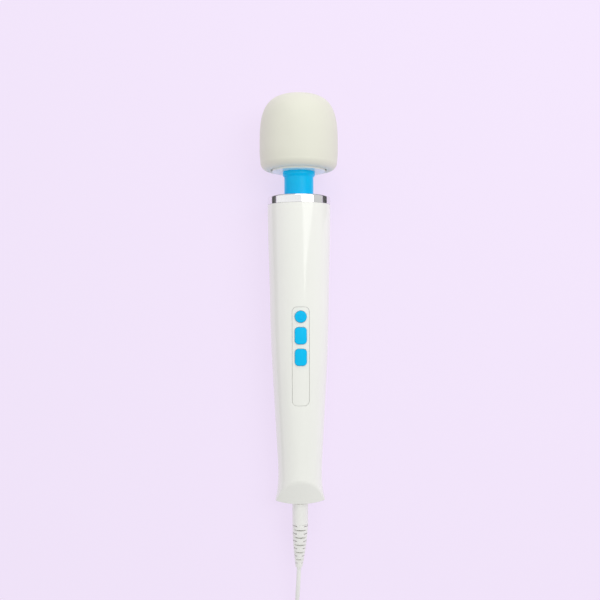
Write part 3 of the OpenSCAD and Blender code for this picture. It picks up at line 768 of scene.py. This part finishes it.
def shell(name, side, holes, top_t):
    """One moulded half of the handle: its tail, its body with holes, and rolled edges.

    Each hole is a loop, its fillet, the depth of its wall and the width of the ledge at its foot.
    """
    skin = Skin()
    points, normals = tail_net(side)
    skin.grid(points, normals)
    surface = on_handle(side)
    foot_x, foot_t, foot_z = points[-1].T
    foot = np.stack([REF_R * np.arctan2(foot_x, side * foot_z), foot_t], 1)
    ts = np.linspace(foot[0, 1], top_t, BODY_ROWS)
    right = np.stack([REF_R * np.arccos(SEAM_Z / OUTLINE(ts)), ts], 1)
    left = right * [-1, 1]
    top_u = np.linspace(right[-1, 0], left[-1, 0], TOP_COLUMNS)[1:-1]
    top = np.stack([top_u, np.full(len(top_u), top_t)], 1)
    outline = np.vstack([foot[::-1], right[1:], top, left[:0:-1]])
    patch(skin, surface, [outline, *(hole for hole, *_ in holes)], SHELL_NET)
    for hole, soft, depth, ledge in holes:
        rim(skin, surface, hole, -1, soft, depth, ledge)
    seam_way = np.array([0, 0, -side])
    body_edges = [surface(edge) for edge in (right, left)]
    tail_edges = [(points[:, k], normals[:, k]) for k in (0, -1)]
    for edge, facing in (*body_edges, *tail_edges):
        away = unit(seam_way - facing * (facing @ seam_way)[:, None])
        roll_over(skin, edge, facing, away, SEAM, EDGE_DEPTH, closed=False)
    socket_way = unit(points[0] * [-1, 0, -1])
    roll_over(skin, points[0], normals[0], socket_way, SEAM, SOCKET_DEPTH, closed=False)
    top_edge, facing = surface(np.vstack([right[-1:], top, left[-1:]]))
    away = unit(np.array([0, 1, 0]) - facing * facing[:, 1:2])
    roll_over(skin, top_edge, facing, away, SEAM, EDGE_DEPTH, closed=False)
    skin.finish(name, "shell_white", "handle", [name.removesuffix("_skin")])


def make_shells():
    """The front shell round its strip, and the rear shell with its screw wells and label recess."""
    top_t = span("chrome_ring")[0][1] - SEAM - RING_GAP
    size, centre = footprint("control_strip")
    strip = rounded_loop(size, STRIP_CORNER, centre, STRIP_GAP + STRIP_SOFT)
    shell("front_shell_skin", 1, [(strip, STRIP_SOFT, STRIP_T, STRIP_LEDGE)], top_t)
    plugs = [rounded_loop((2 * PLUG_R, 2 * PLUG_R), PLUG_R, at, SEAM) for at in plug_centres()]
    size, centre = footprint("rating_label")
    label = rounded_loop(size, LABEL_CORNER, centre, LABEL_GAP + SEAM)
    holes = [(loop, SEAM, WELL_DEPTH, 0) for loop in plugs] + [(label, SEAM, LABEL_RECESS - SEAM, 0)]
    shell("rear_shell_skin", -1, holes, top_t)
    recess = Skin()
    foot = rounded_loop(size, LABEL_CORNER, centre, LABEL_GAP)
    patch(recess, on_handle(-1, LABEL_RECESS), [foot], SHELL_NET)
    recess.finish("label_recess", "shell_white", "handle")


def plug_centres():
    """Where the covers of the shell screws sit, as (x, t)."""
    local = wand_points("screw_plugs")[:, :2]
    centres = []
    while len(local):
        near = np.linalg.norm(local - local[0], axis=1) < 2.5 * PLUG_R
        centres.append(size_and_centre(local[near])[1])
        local = local[~near]
    return centres


# ---------- Control strip and buttons ----------

BUTTONS = {"power_button": "power", "up_button": "level_up", "down_button": "level_down"}
BUTTON_SOFT = 0.55      # fillet round each button
BUTTON_CROWN = 0.3
BUTTON_WALL = 2.6
BUTTON_TOP = 0.4        # depth of a CAD button's upper part, which shows its outline
LEVEL_CORNER = 2.9
MARK_W = 0.5
MARK_R = 2.05
MARK_GAP = 38           # degrees from the top of the mark's ring to where it begins
MARK_BAR = (0.2, 2.7)   # ends of the mark's bar, up from the ring's centre
MARK_DEPTH = 0.25
MARK_SOFT = 0.04
BUTTON_NET = (0.5, 0.5)
MARK_NET = (0.3, 0.3)
STRIP_NET = (1.0, 1.0)


def stroke(line):
    """Anticlockwise outline of a pen stroke with round ends along a line of (x, t) points."""
    line = np.asarray(line, float)
    ahead = np.gradient(line, axis=0)
    beside = unit(np.stack([ahead[:, 1], -ahead[:, 0]], 1)) * MARK_W / 2
    turns = np.linspace(0, np.pi, 7)[1:-1]
    ends = []
    for at, start in ((line[-1], beside[-1]), (line[0], -beside[0])):
        quarter = np.array([-start[1], start[0]])
        ends.append(np.array([at + start * np.cos(a) + quarter * np.sin(a) for a in turns]))
    return np.vstack([line + beside, ends[0], (line - beside)[::-1], ends[1]])


def power_mark(centre):
    """The usual open ring and bar."""
    turns = np.radians(np.linspace(90 + MARK_GAP, 450 - MARK_GAP, 44))
    ring = np.stack([np.cos(turns), np.sin(turns)], 1) * MARK_R + centre
    bar = [(centre[0], centre[1] + up) for up in np.linspace(*MARK_BAR, 8)]
    return [unrolled(stroke(line)) for line in (ring, bar)]


def button_place(name):
    """Size and centre in (x, t), and rise above the handle's surface, of a button's upper part."""
    local = wand_points(name)
    height = np.hypot(local[:, 0], local[:, 2]) - OUTLINE(local[:, 1])
    upper = local[height > height.max() - BUTTON_TOP][:, :2]
    return *size_and_centre(upper), height.max()


def button(name, body, corner, marks):
    """A button's crowned cap, rolled over into its hole, with any marks sunk into it."""
    size, centre, rise = button_place(name)
    reach = size / 2

    def crown(x, t):
        across, along = 1 - (x / reach[0]) ** 2, 1 - ((t - centre[1]) / reach[1]) ** 2
        return BUTTON_CROWN * np.maximum(across, 0) * np.maximum(along, 0)

    surface = on_handle(1, -rise, crown)
    outline = rounded_loop(size, corner, centre, -BUTTON_SOFT, step=0.5)
    skin = Skin()
    patch(skin, surface, [outline, *marks], BUTTON_NET)
    rim(skin, surface, outline, 1, BUTTON_SOFT, BUTTON_WALL)
    for mark in marks:
        rim(skin, surface, mark, -1, MARK_SOFT, MARK_DEPTH)
        patch(skin, on_handle(1, MARK_DEPTH + MARK_SOFT - rise, crown), [mark], MARK_NET)
    skin.finish(name + "_cap", "button_blue", body, [name])


def make_controls():
    """The three buttons and the strip, with a hole for each of them."""
    size, centre = footprint("control_strip")
    outline = rounded_loop(size, STRIP_CORNER, centre, -STRIP_SOFT)
    holes = []
    for name, body in BUTTONS.items():
        size, centre, _ = button_place(name)
        corner = min(size) / 2 if name == "power_button" else LEVEL_CORNER
        marks = power_mark(centre) if name == "power_button" else ()
        button(name, body, corner, marks)
        holes.append(rounded_loop(size, corner, centre, STRIP_GAP + STRIP_SOFT))
    surface = on_handle(1, STRIP_RECESS)
    skin = Skin()
    patch(skin, surface, [outline, *holes], STRIP_NET)
    rim(skin, surface, outline, 1, STRIP_SOFT, STRIP_T - STRIP_SOFT)
    for hole in holes:
        rim(skin, surface, hole, -1, STRIP_SOFT, STRIP_T - STRIP_SOFT)
    skin.finish("strip_skin", "panel_white", "handle", ["control_strip"])


# ---------- Turned pieces ----------

RING_W = 4.4            # width of the ring's upper face
RING_LIP = 0.9          # how far that face turns down at its inside
RING_LIFT = 0.02        # over the foot of the CAD ring
NECK_R = 11.55
FLANGE_R = 22.1
FLANGE_SINK = 1         # below the ring's upper face
FLANGE_T = 2.4
COLLAR_R = NECK_R + 1.2
COLLAR_T = 2.8
COLLAR_FOOT = 4.4       # where the collar has narrowed to the neck, down from the head
COLLAR_SOFT = 0.7
BEND_INSET = 2          # how far the first and last of the points along the neck stay off the flange and the head
CROWN_POWER = 3.4       # superellipse exponent of the head's crown
BELLY_LEN = 10.0
BELLY_DROP = 0.66       # how much narrower the belly is at its lower end
EDGE_W, EDGE_H = 6.0, 5.9
LIP_R = 22.0
LIP_SOFT = 0.7
LIP_TOP = 2.3


def turned_piece(name, slot, body, corners, replaced, segments=160):
    """A piece turned from an outline of corners (r, t, radius)."""
    skin = Skin()
    turned(skin, *rounded_path(corners), segments)
    return skin.finish(name, slot, body, replaced)


def make_ring():
    """The chrome ring: its upper face and its outside."""
    low, high = span("chrome_ring")
    r, foot, top = high[0], low[1] + RING_LIFT, high[1]
    face = [(r - RING_W, top - RING_LIP, 0), (r - RING_W, top, 0.3), (r, top, 1.2)]
    side = [(r, foot, 0.2), (r - 3, foot, 0)]
    turned_piece("ring_skin", "chrome", "handle", face + side, ["chrome_ring"])


def make_neck():
    """The neck's boot and spring, each in two halves: one below the pivot, the other above it."""
    flange_t = span("chrome_ring")[1][1] - FLANGE_SINK
    head_t = span("head_base")[0][1]
    lower = [(NECK_R, PIVOT_T - k, 0) for k in (0, 2, 4, 6)]
    lower += [(NECK_R, flange_t, 3), (FLANGE_R, flange_t, 0), (FLANGE_R, flange_t - FLANGE_T, 0)]
    upper = [(COLLAR_R, head_t + 1, 0), (COLLAR_R, head_t - COLLAR_T, COLLAR_SOFT)]
    upper += [(NECK_R, head_t - COLLAR_FOOT, COLLAR_SOFT)]
    upper += [(NECK_R, PIVOT_T + k, 0) for k in (4, 2, 0)]
    boot = [
        turned_piece("neck_lower", "blue_silicone", None, lower, ["neck_boot"], 96),
        turned_piece("neck_upper", "blue_silicone", None, upper, ["neck_boot"], 96),
    ]
    bend_ts = (flange_t + BEND_INSET, PIVOT_T, head_t - BEND_INSET)
    at = [tuple(place([(0, t, 0)])[0]) for t in bend_ts]
    for low_half, high_half in (boot, halves("neck_spring", "steel")):
        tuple(at[0])
        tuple(at[1])
        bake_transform(low_half)
        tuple(at[1])
        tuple(at[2])
        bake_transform(high_half)


def halves(node, slot):
    """A CAD node's mesh as two pieces, below and above the neck's pivot."""
    source = NODES[node].data
    along = wand_points(node)[:, 1]
    faces = [list(face.vertices) for face in source.polygons]
    pieces = []
    for name, side in (("lower", -1), ("upper", 1)):
        kept = [face for face in faces if side * (along[face].mean() - PIVOT_T) >= 0]
        used = {corner: k for k, corner in enumerate(sorted({c for face in kept for c in face}))}
        mesh = bpy.data.meshes.new(f"{node}_{name}")
        corners = [source.vertices[c].co for c in used]
        mesh.from_pydata(corners, [], [[used[c] for c in face] for face in kept])
        mesh.shade_smooth()
        pieces.append(finish_piece(mesh, mesh.name, slot, None, [node]))
    return pieces


def arc_points(centre, reach, start, end, steps):
    """Points (r, t) on a quarter or part of an ellipse about centre, between two angles in degrees."""
    turns = np.radians(np.linspace(start, end, steps))
    return [(centre[0] + reach[0] * math.cos(a), centre[1] + reach[1] * math.sin(a)) for a in turns]


def make_head():
    """The soft cap: its crown, its slightly narrowing belly, its lower edge and the lip under it."""
    low, high = span("head_cap")
    r, foot, top = high[0], low[1], high[1]
    belly_t = foot + EDGE_H + BELLY_LEN
    power = 2 / CROWN_POWER
    crown = [
        (r * math.cos(a) ** power, belly_t + (top - belly_t) * math.sin(a) ** power)
        for a in np.radians(np.linspace(90, 0, 90))
    ]
    belly = [
        (r - BELLY_DROP * (d / BELLY_LEN) ** 2, belly_t - d) for d in np.linspace(0, BELLY_LEN, 14)[1:]
    ]
    edge = arc_points((r - BELLY_DROP - EDGE_W, foot + EDGE_H), (EDGE_W, EDGE_H), 0, -90, 24)[1:]
    lip = arc_points((LIP_R + LIP_SOFT, foot + LIP_SOFT), (LIP_SOFT, LIP_SOFT), -90, -180, 9)
    path = np.array(crown + belly + edge + lip + [(LIP_R, foot + LIP_TOP)])
    ahead = np.gradient(path, axis=0)
    skin = Skin()
    turned(skin, path, unit(np.stack([-ahead[:, 1], ahead[:, 0]], 1)), 180)
    skin.finish("cap_skin", "head_silicone", "head", ["head_cap"])


def make_plug():
    """The plug's grip: its face towards the tail, its side and the rim of its foot."""
    low, high = span("plug_grip")
    r, foot, top = high[0], low[1], high[1]
    corners = [(0, top, 0), (r, top, 0.9), (r, foot, 0.25), (r - 1.5, foot, 0)]
    turned_piece("grip_skin", "plug_white", "lead", corners, ["plug_grip"])


# Fillets of the CAD nodes that show, in mm
SOFTENED = {
    "head_base": 0.5, "strain_relief": 0.2, "adapter_base": 0.8, "adapter_cover": 0.8,
    "adapter_blades": 0.15, "adapter_relief": 0.25, "coil_tie": 0.15, "screw_plugs": 0.2,
}


def soften_cad_nodes():
    """Rounds the visible edges of the CAD nodes that keep their own shape."""
    for node, width in SOFTENED.items():
        weld = NODES[node].modifiers.new("weld", "WELD")
        weld.merge_threshold = 1e-6
        bevel = NODES[node].modifiers.new("bevel", "BEVEL")
        bevel.width = width * MM
        bevel.segments = 3
        bevel.limit_method = "ANGLE"
        bevel.angle_limit = math.radians(35)
        bevel.harden_normals = True


make_camera()
MATERIALS = make_materials()
make_studio()
make_lead()
dress_cad_nodes()
soften_cad_nodes()
make_shells()
make_controls()
make_ring()
make_neck()
make_head()
make_plug()
